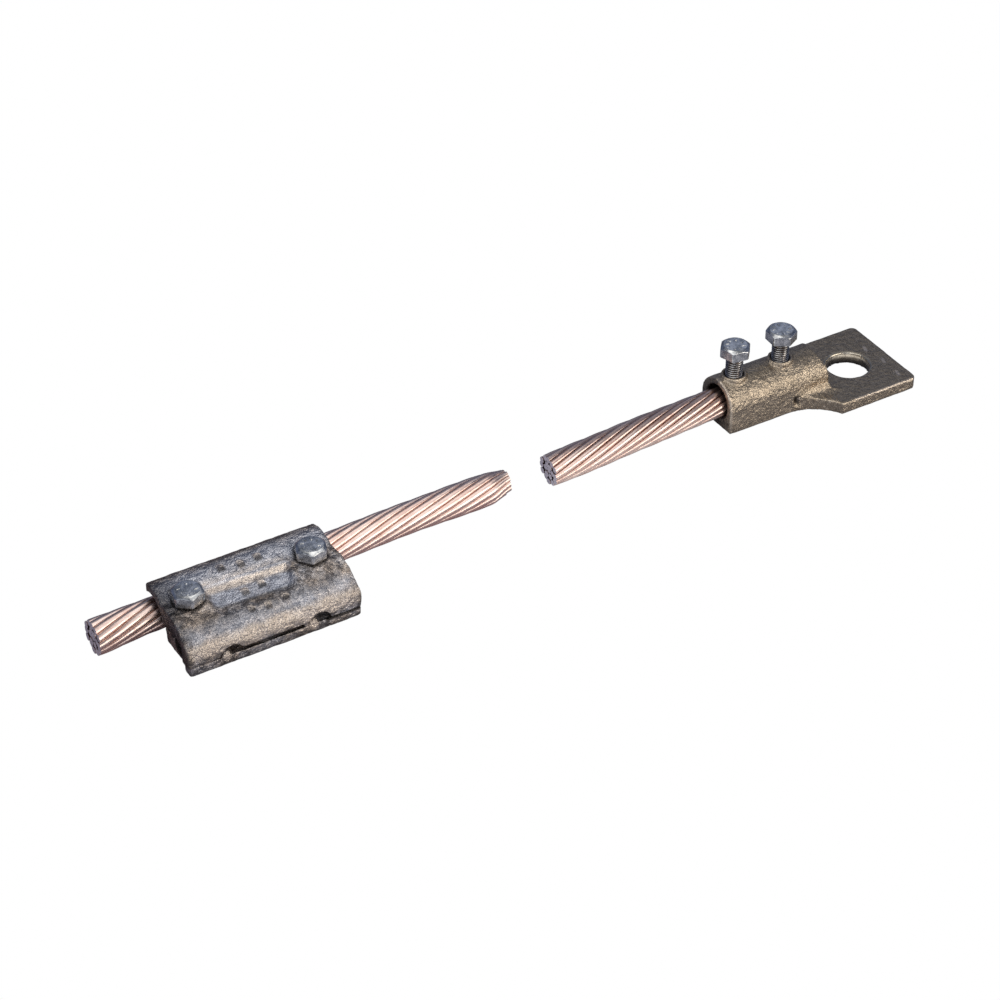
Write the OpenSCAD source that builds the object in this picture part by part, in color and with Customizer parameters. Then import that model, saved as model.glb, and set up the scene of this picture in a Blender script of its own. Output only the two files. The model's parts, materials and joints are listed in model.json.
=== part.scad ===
// Bonding connector: a cast two-jaw clamp on a bare stranded conductor and a cast flat-tang lug
// on a second length of it, both lying on the same floor. Millimetres.
// Origin: the tang hole's centre on the base plane. +X towards the tang's end, +Z up.

/* [Conductor] */
// Diameter over the outer strands
conductor_d = 13.4; // [11:0.1:16]
// Clear gap between neighbouring strands
strand_gap = 0.12; // [0.08:0.01:0.3]
// Length in which an outer strand goes round once
outer_lay = 140; // [100:1:220]
// Length in which an inner strand goes round once, the other way
inner_lay = 110; // [80:1:200]
// How far the cut ends of the strands differ
cut_scatter = 0.5; // [0:0.1:1]

/* [Lug] */
// Width of the flat tang
tang_w = 48.2; // [42:0.1:60]
// Thickness of the tang
tang_t = 5.7; // [4:0.1:8]
// Tang hole diameter
tang_hole_d = 20.1; // [12:0.1:26]
// Hole centre to the tang's end
tang_tip = 20.9; // [16:0.1:30]
// Hole centre to where the tang's straight sides stop
tang_back = 20.2; // [16:0.1:26]
// Corner radius of the tang's end
tang_corner_r = 2.5; // [0.5:0.1:4]
// Radius of the concave flare from the barrel to the tang
flare_r = 23; // [15:0.5:30]
// Width of the barrel
barrel_w = 23; // [21:0.1:26]
// Height of the barrel over the floor
barrel_h = 22.8; // [22:0.1:26]
// How far the barrel stands to the back of the hole's axis
barrel_side = 0.5; // [0:0.1:1]
// Metal under the bore
bore_floor = 4; // [3:0.1:6]
// Bore diameter
bore_d = 16; // [15:0.1:18]
// Depth of the blind bore from the mouth
bore_depth = 44.1; // [30:0.1:48]
// Length of the barrel along its middle
barrel_len = 50.7; // [48:0.1:64]
// Radius about the hole of the hollow face that ends the barrel
nose_r = 21.9; // [19:0.1:26]
// Fillet between that face and the tang
nose_fillet = 3.3; // [1:0.1:5]
// Fillet between the barrel's sides and the tang
side_fillet = 5; // [2:0.1:6]
// Chamfer of the tang hole
hole_chamfer = 0.6; // [0.2:0.1:1]
// Diameter of the screw bosses on the barrel
boss_d = 11.5; // [10:0.1:14]
// Height of the screw bosses over the barrel
boss_h = 0.6; // [0.2:0.1:2]
// Mouth to the first set screw
screw_first = 8.5; // [6.5:0.1:12]
// Distance between the set screws
screw_pitch = 25; // [16:0.1:28]

/* [Screws] */
// Outside diameter of the thread
thread_d = 7.94; // [6:0.01:8]
// Hexagon across the flats
head_af = 12.7; // [11:0.1:14]
// Height of a hexagon head
head_h = 5.3; // [4:0.1:7]
// Length of a set screw under its head
set_screw_len = 14.4; // [13:0.1:20]
// How far the front set screw is backed off the conductor
front_screw_up = 1.6; // [0:0.1:2]
// Length of a clamp bolt under its head
clamp_bolt_len = 22.8; // [20:0.1:23]
// Radial clearance of a thread in its tapped hole
thread_gap = 0.05; // [0.02:0.01:0.1]
// Radial clearance of a bolt in the upper jaw
bolt_gap = 0.43; // [0.3:0.01:0.8]
// Turn of the front set screw's hexagon
front_screw_turn = 57; // [0:1:60]
// Turn of the rear set screw's hexagon
rear_screw_turn = 27; // [0:1:60]
// Turn of the left bolt's hexagon
left_bolt_turn = 4; // [0:1:60]
// Turn of the right bolt's hexagon
right_bolt_turn = 5; // [0:1:60]

/* [Clamp] */
// Length of both jaws
clamp_len = 79.1; // [76:0.1:90]
// Middle of the jaws to the right of the middle of the bolts
clamp_off = 0.65; // [0:0.05:1]
// How much shorter the lower jaw is at the left
lower_inset = 1.3; // [0:0.1:2]
// Slant of the jaws' right end
end_slant = 3.2; // [0:0.1:6]
// Tang hole to the middle of the clamp
clamp_back = 315.5; // [300:0.5:340]
// Conductor axis in front of the lug's axis
clamp_front = 7.5; // [0:0.1:12]
// Conductor axis over the floor
axis_z = 13.8; // [13.4:0.1:16]
// Distance between the bolts
bolt_span = 56.3; // [54:0.1:58]
// Conductor axis to the bolts' row
bolt_out = 11.4; // [11.3:0.1:13]
// Radius of the bulge over the conductor
bulge_r = 12.9; // [12:0.1:14]
// Conductor axis to the upper jaw's flat back
back_cut = 5.5; // [4:0.1:6.4]
// Height of the flat top over the conductor axis
top_up = 10; // [9.5:0.1:10.4]
// Height of the bolt seats over the conductor axis
seat_up = 10.6; // [10.5:0.1:11]
// Radius of the bolt seats
seat_r = 5.8; // [5.5:0.1:8]
// Radius of the spot faces cut round the bolt heads
spot_r = 8.2; // [8:0.1:9]
// Bolts' row to the tap groove's axis
tap_out = 10.2; // [9.8:0.1:13]
// Conductor axis down to the tap groove's axis
tap_drop = 2.6; // [2:0.1:3]
// Diameter of the tap groove
tap_d = 8; // [6:0.1:8.4]
// Tap groove's axis to the centre of the rounded front
front_out = 2.8; // [2.6:0.1:4]
// Radius of the rounded front
front_r = 7.5; // [7:0.1:8]
// Conductor axis down to the centre of the rounded front
front_drop = 3.5; // [3:0.1:4]
// Conductor axis down to the skirt's lower edge
skirt_drop = 8; // [7.6:0.1:8.4]
// Gap between the skirt and the lower jaw's lip
lip_gap = 0.4; // [0.3:0.05:0.8]
// Clearance of the conductor in the lower groove
lower_groove_gap = 0.2; // [0.15:0.01:0.4]
// Clearance of the conductor in the upper groove
upper_groove_gap = 0.4; // [0.3:0.01:0.6]
// How far the cradle's ends are set back from the jaw's ends
cradle_back = 9; // [4:0.1:12]
// Length of the bell mouths
bell_len = 6; // [3:0.1:8]
// How far a bell mouth opens
bell_open = 2.2; // [0.5:0.1:2.5]

/* [Clamp top] */
// Length of the sunk panel between the bolts, at its floor
panel_len = 33; // [26:0.1:35]
// Turn of the panel
panel_turn = -5; // [-8:0.5:8]
// Lean of the panel's end walls
panel_lean = 30; // [10:1:40]
// Height of the panel's front edge over the conductor axis
panel_up = 6.7; // [6.2:0.1:7.4]
// Width of a keying notch in the skirt
notch_w = 11; // [9:0.1:12]
// Height of a keying notch in the skirt
notch_h = 5; // [4:0.1:5.4]
// Distance between the keying notches
notch_span = 39.8; // [36:0.1:42]
// Radius of a keying knob on the lower jaw's lip
knob_r = 2.6; // [1.8:0.1:2.8]
// Height of the slit under the skirt
slit_h = 1.8; // [0.5:0.1:2]
// Conductor past the clamp on the left
run_left = 27.2; // [15:0.1:40]
// Conductor past the clamp on the right
run_right = 88.3; // [60:0.1:95]
// Conductor past the lug's mouth
stub_out = 88.7; // [60:0.1:95]

/* [Hidden] */
$fn = 64;
cut = 1;
rest_gap = 0.05;
inner_count = 6;
outer_count = 12;
strand_pitch = conductor_d / 5;
strand_r = (strand_pitch - strand_gap) / 2;
slice_len = 8;

barrel_r = barrel_w / 2;
bore_z = bore_floor + bore_d / 2;
arch_z = barrel_h - barrel_r;
mouth_x = -nose_r - barrel_len;
front_screw_x = mouth_x + screw_first;
rear_screw_x = front_screw_x + screw_pitch;

// The lug's conductor leans on the bore's lip and on the floor
stub_tilt = asin(bore_floor / stub_out);
stub_len = (stub_out + bore_depth - cut) / cos(stub_tilt);
stub_x = mouth_x - stub_out;
stub_z = (conductor_d / 2 + rest_gap) / cos(stub_tilt);
screw_tip_gap = 0.3;

clamp_x = -clamp_back + clamp_off - clamp_len / 2;
tap_r = tap_d / 2;
tap_h = bolt_out + tap_out;
front_h = tap_h + front_out;
skirt_h = tap_h + 3.8;
lobe_v = -1;
upper_v = 1.3;
lower_v = -2.5;
lip_v = -skirt_drop - lip_gap;
lip_h = front_h + front_r - 0.7;
cradle_h = skirt_h - 0.5;
heel_h = conductor_d / 2 + 3.7;
heel_w = 3.9;
upper_groove_r = conductor_d / 2 + upper_groove_gap;
lower_groove_r = conductor_d / 2 + lower_groove_gap;
bolt_x = [-clamp_back - bolt_span / 2, -clamp_back + bolt_span / 2];
// Top of the upper jaw from the bulge down to the rounded front
top_line = [
    [0, top_up],
    [bolt_out - 3.3, top_up],
    [bolt_out + 6.3, top_up - 0.4],
    [tap_h + 1.8, front_r - 0.6],
    [front_h + front_r * cos(55), front_r * sin(55) - front_drop]
];
// Space over the panel's floor, from the bulge down to the front
panel_section = [
    [bolt_out - 3.5, top_up + 0.3],
    [bolt_out - 1, top_up - 1.5],
    [bolt_out + 6.8, panel_up],
    [tap_h + 3, panel_up - 0.7],
    [tap_h + 3, 2 * top_up],
    [bolt_out - 3.5, 2 * top_up]
];
panel_mid = -1.5;
panel_foot = panel_up - 0.7;
notch_r = (notch_w * notch_w / 4 + notch_h * notch_h) / (2 * notch_h);
notch_x = [-clamp_back + 0.9 - notch_span / 2, -clamp_back + 0.9 + notch_span / 2];
notch_v = -skirt_drop + notch_h - notch_r;
knob_shift = -2.4;
slit_x0 = notch_x[0] + notch_w / 2 - 1.8;
slit_x1 = notch_x[1] - notch_w / 2 - 1.6;

bronze = [0.40, 0.37, 0.31];
copper = [0.80, 0.52, 0.40];
steel = [0.55, 0.57, 0.60];

function strand_names(owner) = concat(
    [str(owner, "_core_strand")],
    [for (i = [1:inner_count]) str(owner, "_inner_strand_", i)],
    [for (i = [1:outer_count]) str(owner, "_outer_strand_", i)]
);

// Lug

// Plan of the tang and its flare
module tang_plan() {
    translate([-tang_back, -tang_w / 2])
        square([tang_back + tang_tip - tang_corner_r, tang_w]);
    translate([-tang_back, tang_corner_r - tang_w / 2])
        square([tang_back + tang_tip, tang_w - 2 * tang_corner_r]);
    for (side = [-1, 1])
        translate([tang_tip - tang_corner_r, side * (tang_w / 2 - tang_corner_r)])
            circle(r = tang_corner_r);
    for (side = [-1, 1])
        difference() {
            translate([-tang_back - flare_run(side), min(0, side * tang_w / 2)])
                square([flare_run(side) + 0.01, tang_w / 2]);
            translate([-tang_back - flare_run(side), side * (barrel_out(side) + flare_r)])
                circle(r = flare_r, $fn = 96);
        }
}

// Hole's axis to the barrel's side, and the length of the flare on that side
function barrel_out(side) = barrel_r + side * barrel_side;
function flare_rise(side) = tang_w / 2 - barrel_out(side);
function flare_run(side) = sqrt(flare_rise(side) * (2 * flare_r - flare_rise(side)));

// Space round the hole that ends the barrel: a round wall with a fillet at the tang
module nose_cut() {
    translate([0, 0, tang_t])
        rotate_extrude($fn = 128)
            difference() {
                square([nose_r, barrel_h]);
                difference() {
                    translate([nose_r - nose_fillet, 0])
                        square(nose_fillet);
                    translate([nose_r - nose_fillet, nose_fillet])
                        circle(r = nose_fillet);
                }
            }
}

// Outside of the barrel: an arch with upright sides, hollowed round the tang's hole
module barrel_solid() {
    difference() {
        translate([mouth_x, barrel_side, 0])
            rotate([90, 0, 90])
                linear_extrude(-tang_hole_d / 2 - 0.5 - mouth_x) {
                    translate([-barrel_r, 0])
                        square([barrel_w, arch_z]);
                    translate([0, arch_z])
                        circle(r = barrel_r, $fn = 96);
                }
        nose_cut();
    }
}

// Fillets along the barrel's sides, kept inside the flare
module side_fillets() {
    sunk = 1;
    intersection() {
        linear_extrude(tang_t + side_fillet)
            tang_plan();
        translate([mouth_x, barrel_side, tang_t])
            rotate([90, 0, 90])
                linear_extrude(-tang_hole_d / 2 - 0.5 - mouth_x)
                    for (side = [0, 1])
                        mirror([side, 0])
                            difference() {
                                translate([barrel_r - sunk, -sunk])
                                    square(side_fillet + sunk);
                                translate([barrel_r + side_fillet, side_fillet])
                                    circle(r = side_fillet);
                            }
    }
}

module lug() {
    color(bronze)
    difference() {
        union() {
            linear_extrude(tang_t)
                tang_plan();
            barrel_solid();
            difference() {
                side_fillets();
                nose_cut();
            }
            for (x = [front_screw_x, rear_screw_x])
                translate([x, 0, bore_z])
                    cylinder(h = barrel_h + boss_h - bore_z, d = boss_d);
        }
        translate([0, 0, -cut])
            cylinder(h = tang_t + 2 * cut, d = tang_hole_d, $fn = 96);
        translate([0, 0, tang_t - hole_chamfer])
            cylinder(h = 2 * hole_chamfer, r1 = tang_hole_d / 2, r2 = tang_hole_d / 2 + 2 * hole_chamfer, $fn = 96);
        translate([mouth_x - cut, 0, bore_z])
            rotate([0, 90, 0])
                cylinder(h = bore_depth + cut, d = bore_d, $fn = 96);
        for (x = [front_screw_x, rear_screw_x])
            translate([x, 0, bore_z])
                cylinder(h = barrel_h + boss_h - bore_z + cut, d = thread_d + 2 * thread_gap);
    }
}

// Screws

// Hexagon head with a chamfered top over a shank with a chamfered tip, head underside at z = 0
module hex_screw(length, turn) {
    tip = 0.9;
    crown_r = head_af / 2 - 0.25;
    rotate([0, 0, turn])
        intersection() {
            cylinder(h = head_h, d = head_af / cos(30), $fn = 6);
            cylinder(h = head_h, r1 = crown_r + head_h * 1.732, r2 = crown_r);
        }
    translate([0, 0, tip - length])
        cylinder(h = length - tip + 0.5, d = thread_d);
    translate([0, 0, -length])
        cylinder(h = tip, d1 = thread_d - 2 * tip, d2 = thread_d);
}

// Top of the lug's conductor at a place along the bore
function stub_top(x) = stub_z + (x - stub_x) * tan(stub_tilt) + conductor_d / 2 / cos(stub_tilt);

module set_screw_front() {
    color(steel)
    translate([front_screw_x, 0, stub_top(front_screw_x) + screw_tip_gap + front_screw_up + set_screw_len])
        hex_screw(set_screw_len, front_screw_turn);
}

module set_screw_rear() {
    color(steel)
    translate([rear_screw_x, 0, stub_top(rear_screw_x) + screw_tip_gap + set_screw_len])
        hex_screw(set_screw_len, rear_screw_turn);
}

module clamp_bolt_left() {
    color(steel)
    translate([bolt_x[0], -clamp_front - bolt_out, axis_z + seat_up + 0.02])
        hex_screw(clamp_bolt_len, left_bolt_turn);
}

module clamp_bolt_right() {
    color(steel)
    translate([bolt_x[1], -clamp_front - bolt_out, axis_z + seat_up + 0.02])
        hex_screw(clamp_bolt_len, right_bolt_turn);
}

// Clamp

// A section of the clamp drawn as distance in front of, and over, the conductor axis
module clamp_section(x, length) {
    translate([x, -clamp_front, axis_z])
        rotate([90, 0, 90])
            linear_extrude(length)
                mirror([1, 0])
                    children();
}

// Groove round the conductor with a bell mouth at both ends
module run_groove(r) {
    translate([clamp_x - cut, -clamp_front, axis_z])
        rotate([0, 90, 0])
            cylinder(h = clamp_len + 2 * cut, r = r);
    translate([clamp_x - 0.01, -clamp_front, axis_z])
        rotate([0, 90, 0])
            cylinder(h = bell_len, r1 = r + bell_open, r2 = r);
    translate([clamp_x + clamp_len - bell_len + 0.01, -clamp_front, axis_z])
        rotate([0, 90, 0])
            cylinder(h = bell_len, r1 = r, r2 = r + bell_open);
}

// Open groove for the tap conductor in front of the bolts
module tap_groove() {
    translate([clamp_x - cut, -clamp_front - tap_h, axis_z - tap_drop])
        rotate([0, 90, 0])
            cylinder(h = clamp_len + 2 * cut, d = tap_d);
}

// Space past the jaws' slanted right end
module end_cut() {
    translate([clamp_x + clamp_len, -clamp_front - front_h - front_r, -cut])
        rotate([0, 0, end_slant])
            cube([clamp_len, 3 * front_h, 3 * axis_z]);
}

module bolt_places() {
    for (x = bolt_x)
        translate([x, -clamp_front - bolt_out, axis_z])
            children();
}

module upper_jaw_section() {
    intersection() {
        circle(r = bulge_r, $fn = 96);
        translate([-back_cut, upper_v])
            square([back_cut + bulge_r, bulge_r]);
    }
    polygon(concat([[0, upper_v]], top_line, [
        [front_h + front_r, -front_drop],
        [front_h + front_r - 0.5, -skirt_drop],
        [skirt_h, -skirt_drop],
        [skirt_h, lobe_v],
        [tap_h - 5.3, lobe_v],
        [tap_h - 5.3, upper_v]
    ]));
    intersection() {
        translate([front_h, -front_drop])
            circle(r = front_r, $fn = 96);
        translate([skirt_h, -front_drop])
            square(2 * front_r);
    }
}

// Sunk panel between the bolts, with end walls that open upwards
module panel_cut() {
    wide = tan(panel_lean) * (2 * top_up - panel_foot);
    translate([-clamp_back + panel_mid, -clamp_front - bolt_out, 0])
        rotate([0, 0, panel_turn])
            translate([0, bolt_out + clamp_front, 0])
                intersection() {
                    clamp_section(-clamp_len / 2, clamp_len)
                        polygon(panel_section);
                    translate([0, 0, axis_z])
                        rotate([90, 0, 0])
                            linear_extrude(2 * front_h + clamp_front)
                                polygon([
                                    [-panel_len / 2, panel_foot],
                                    [panel_len / 2, panel_foot],
                                    [panel_len / 2 + wide, 2 * top_up],
                                    [-panel_len / 2 - wide, 2 * top_up]
                                ]);
                }
}

module upper_jaw() {
    color(bronze)
    difference() {
        union() {
            clamp_section(clamp_x, clamp_len)
                upper_jaw_section();
            bolt_places()
                translate([0, 0, seat_up - 2])
                    cylinder(h = 2, r = seat_r);
        }
        run_groove(upper_groove_r);
        tap_groove();
        end_cut();
        panel_cut();
        bolt_places()
            translate([0, 0, -5])
                cylinder(h = seat_up + 10, d = thread_d + 2 * bolt_gap);
        bolt_places()
            translate([0, 0, seat_up])
                cylinder(h = 10, r = spot_r);
        for (x = notch_x)
            translate([x, -clamp_front - skirt_h + cut, axis_z + notch_v])
                rotate([90, 0, 0])
                    cylinder(h = front_h + front_r - skirt_h + 2 * cut, r = notch_r);
        translate([slit_x0, -clamp_front - front_h - front_r - cut, axis_z - skirt_drop - cut])
            cube([slit_x1 - slit_x0, front_h + front_r - skirt_h + 2 * cut, slit_h + cut]);
    }
}

// A keying knob: a dome on a short stem that is sunk in the lip
module keying_knob() {
    translate([0, 0, -3])
        cylinder(h = 3.1, r = knob_r);
    rotate_extrude()
        intersection() {
            circle(r = knob_r);
            square(knob_r);
        }
}

module lower_jaw_section() {
    polygon([
        [-heel_h, -1],
        [-heel_h, -axis_z],
        [heel_w - heel_h, -axis_z],
        [heel_w - heel_h + 1, -lower_groove_r - 2.6],
        [tap_h + 2.5, -tap_drop - tap_r - 2.4],
        [tap_h + 3.4, -axis_z],
        [lip_h - 1.9, -axis_z],
        [lip_h - 0.4, 1.6 - axis_z],
        [lip_h, lip_v],
        [cradle_h, lip_v],
        [cradle_h, -tap_drop - 1.5],
        [tap_h, -tap_drop - 1.5],
        [tap_h, lower_v],
        [0, lower_v],
        [0, -1]
    ]);
}

// Space under the conductor at an end of the lower jaw
module cradle_relief() {
    polygon([
        [-heel_h - cut, 0],
        [lower_groove_r + 0.4, 0],
        [lower_groove_r + 2, -lower_groove_r],
        [lower_groove_r + 2.6, -axis_z - cut],
        [-heel_h - cut, -axis_z - cut]
    ]);
}

module lower_jaw() {
    color(bronze)
    union() {
        difference() {
            clamp_section(clamp_x + lower_inset, clamp_len - lower_inset)
                lower_jaw_section();
            run_groove(lower_groove_r);
            tap_groove();
            end_cut();
            for (x = [clamp_x - cut, clamp_x + clamp_len - cradle_back - 2])
                clamp_section(x, cradle_back + 2 * cut)
                    cradle_relief();
            bolt_places()
                translate([0, 0, -axis_z - cut])
                    cylinder(h = axis_z + 2 * cut, d = thread_d + 2 * thread_gap);
        }
        for (x = notch_x)
            translate([x + knob_shift, -clamp_front - lip_h + knob_r - 0.4, axis_z + lip_v])
                keying_knob();
    }
}

// Conductors

// One strand along +X from the start of its conductor: layer radius, lay length (negative turns
// the other way), place round the axis, start and end
module strand(layer_r, lay, angle, start, end) {
    length = end - start;
    turn = 360 / lay;
    translate([start, 0, 0])
        rotate([90, 0, 90])
            linear_extrude(length, twist = turn * length, slices = ceil(length / slice_len), $fn = 6)
                rotate(angle - turn * start)
                    translate([layer_r, 0])
                        circle(r = strand_r, $fn = 6);
}

// Unevenness of the cut at each end
function cut_in(i) = cut_scatter * (0.5 + 0.5 * sin(i * 137));
function cut_out(i) = cut_scatter * (0.5 + 0.5 * sin(i * 97 + 40));

module inner_strand(i, length) {
    strand(strand_pitch, -inner_lay, i * 360 / inner_count, cut_in(i), length - cut_out(i));
}

module outer_strand(i, length) {
    strand(2 * strand_pitch, outer_lay, i * 360 / outer_count, cut_in(i + 9), length - cut_out(i + 9));
}

module core_strand(length) {
    translate([cut_scatter / 2, 0, 0])
        rotate([0, 90, 0])
            cylinder(h = length - cut_scatter, r = strand_r, $fn = 24);
}

run_len = run_left + clamp_len + run_right;

module clamp_place() {
    color(copper)
    translate([clamp_x - run_left, -clamp_front, axis_z])
        children();
}

module lug_place() {
    color(copper)
    translate([stub_x, 0, stub_z])
        rotate([0, -stub_tilt, 0])
            children();
}

module clamp_core_strand() {
    clamp_place() core_strand(run_len);
}

module clamp_inner_strand(i) {
    clamp_place() inner_strand(i, run_len);
}

module clamp_outer_strand(i) {
    clamp_place() outer_strand(i, run_len);
}

module lug_core_strand() {
    lug_place() core_strand(stub_len);
}

module lug_inner_strand(i) {
    lug_place() inner_strand(i, stub_len);
}

module lug_outer_strand(i) {
    lug_place() outer_strand(i, stub_len);
}

lug();
set_screw_front();
set_screw_rear();
upper_jaw();
lower_jaw();
clamp_bolt_left();
clamp_bolt_right();
clamp_core_strand();
for (i = [1:inner_count])
    clamp_inner_strand(i);
for (i = [1:outer_count])
    clamp_outer_strand(i);
lug_core_strand();
for (i = [1:inner_count])
    lug_inner_strand(i);
for (i = [1:outer_count])
    lug_outer_strand(i);
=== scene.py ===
"""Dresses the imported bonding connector: two cast halves on bare stranded conductors, on a pale floor.

Sizes are in millimetres in the dataclasses and become metres when a mesh is made. The row frame's
origin is the tang hole's centre on the base plane, +X runs towards the tang's end and +Z is up.
"""

from __future__ import annotations

import json
import logging
import math
from dataclasses import dataclass, field
from enum import Enum

import bpy
from mathutils import Matrix, Vector

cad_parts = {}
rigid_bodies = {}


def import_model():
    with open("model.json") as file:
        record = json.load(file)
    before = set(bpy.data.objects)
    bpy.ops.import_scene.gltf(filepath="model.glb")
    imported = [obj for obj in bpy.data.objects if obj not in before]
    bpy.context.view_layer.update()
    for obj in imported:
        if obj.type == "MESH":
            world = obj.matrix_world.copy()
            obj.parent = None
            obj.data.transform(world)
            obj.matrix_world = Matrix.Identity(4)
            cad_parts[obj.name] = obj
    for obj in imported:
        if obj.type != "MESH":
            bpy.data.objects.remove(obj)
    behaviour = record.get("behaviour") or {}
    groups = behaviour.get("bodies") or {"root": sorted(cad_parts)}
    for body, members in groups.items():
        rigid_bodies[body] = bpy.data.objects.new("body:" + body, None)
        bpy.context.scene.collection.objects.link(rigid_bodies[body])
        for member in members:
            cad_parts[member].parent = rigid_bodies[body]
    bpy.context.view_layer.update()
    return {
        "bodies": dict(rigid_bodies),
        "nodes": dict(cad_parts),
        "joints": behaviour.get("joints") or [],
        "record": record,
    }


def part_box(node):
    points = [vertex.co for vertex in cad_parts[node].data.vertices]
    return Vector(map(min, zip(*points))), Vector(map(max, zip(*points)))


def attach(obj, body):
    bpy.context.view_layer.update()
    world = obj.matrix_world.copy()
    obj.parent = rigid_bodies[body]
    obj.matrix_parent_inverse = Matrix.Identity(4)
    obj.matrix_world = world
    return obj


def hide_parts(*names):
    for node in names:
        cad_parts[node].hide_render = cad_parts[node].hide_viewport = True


LOG = logging.getLogger("bonding_connector")
MM = 0.001
# two points nearer than this are one, mm
MERGE = 0.0005
# wavelength and height of the clamp's uneven skin, mm
CLAMP_WAVES = ((9.0, 0.36), (3.0, 0.26), (1.3, 0.12))
HEAD_HEIGHT = 5.3
CONDUCTOR_D = 13.4
# the clamp's ends along X, and the line of its conductor
CLAMP_X = (-354.6, -275.0)
RUN_Y, RUN_Z = -7.5, 13.8
Colour = tuple[float, float, float]
Corner = tuple[float, float, float]
Course = tuple[tuple[float, float], ...]
# two ends, the radius where it is full, the radius where it ends and its most
Streak = tuple[Corner, Corner, float, float, float]
Piece = bpy.types.Object
Socket = bpy.types.NodeSocket


class Slot(Enum):
    """The record's material slots."""

    LUG = "bronze_lug"
    CLAMP = "bronze_clamp"
    STEEL = "steel"
    COPPER = "copper"


class Body(Enum):
    """The CAD bodies that the pieces ride on."""

    BASE = "base"
    JAW = "upper_jaw"
    BOLT_LEFT = "clamp_bolt_left"
    BOLT_RIGHT = "clamp_bolt_right"
    SCREW_FRONT = "set_screw_front"
    SCREW_REAR = "set_screw_rear"


# Node sheets


def opaque(colour: Colour) -> tuple[float, float, float, float]:
    """Gives a colour its alpha."""
    return (*colour, 1.0)


class NodeSheet:
    """A short hand for placing and wiring nodes in one tree."""

    STEP_X, STEP_Y, ROWS = 190, 160, 4

    def __init__(self, tree: bpy.types.NodeTree) -> None:
        """Keeps the tree to fill."""
        self.tree = tree
        self.column = 0

    def node(self, kind: str, feeds: dict | None = None, **settings: object) -> bpy.types.Node:
        """Adds a node.

        Args:
            kind: The node's type name.
            feeds: What its inputs take, by name or number.
            settings: Properties to set on it.

        Returns:
            The new node.
        """
        made = self.tree.nodes.new(kind)
        made.location = (self.column * self.STEP_X, -(self.column % self.ROWS) * self.STEP_Y)
        self.column += 1
        for key, value in settings.items():
            setattr(made, key, value)
        self.feed(made, feeds or {})
        return made

    def feed(self, node: bpy.types.Node, feeds: dict) -> None:
        """Wires a node's inputs, or sets them.

        Args:
            node: The node.
            feeds: By name or number, an output socket, a number or a tuple.
        """
        for key, source in feeds.items():
            if isinstance(source, Socket):
                self.tree.links.new(source, node.inputs[key])
            else:
                node.inputs[key].default_value = source

    def math(self, operation: str, a: object, b: object, clamp: bool = False) -> Socket:
        """Adds a Math node and gives its result, held between 0 and 1 if asked."""
        return self.node("ShaderNodeMath", {0: a, 1: b}, operation=operation, use_clamp=clamp).outputs[0]

    def part(self, value: object, share: object) -> Socket:
        """Takes a share of a value."""
        return self.math("MULTIPLY", value, share)

    def coats(self, base: Colour, *layers: tuple[Colour, object]) -> Socket:
        """Lays colours over a base, one after the other.

        Args:
            base: The base colour.
            layers: Each colour and how much of what is below it covers.

        Returns:
            The mixed colour's socket.
        """
        tone: object = opaque(base)
        for colour, cover in layers:
            feeds = {0: cover, 6: tone, 7: opaque(colour)}
            tone = self.node("ShaderNodeMix", feeds, data_type="RGBA").outputs[2]
        return tone

    def noted(self, name: str) -> Socket:
        """Reads a value that a mesh notes on its points."""
        return self.node("ShaderNodeAttribute", attribute_name=name).outputs["Fac"]

    def noise(self, place: object, scale: object, detail: float, rough: float) -> Socket:
        """Adds a noise texture and gives its value."""
        feeds = {"Vector": place, "Scale": scale, "Detail": detail, "Roughness": rough}
        return self.node("ShaderNodeTexNoise", feeds).outputs["Fac"]

    def ramp(self, value: object, low: float, high: float, least: float = 0.0, most: float = 1.0) -> Socket:
        """Maps a value smoothly from low and high to least and most, held between them."""
        feeds = {"Value": value, "From Min": low, "From Max": high, "To Min": least, "To Max": most}
        return self.node("ShaderNodeMapRange", feeds, interpolation_type="SMOOTHSTEP").outputs["Result"]


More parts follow.
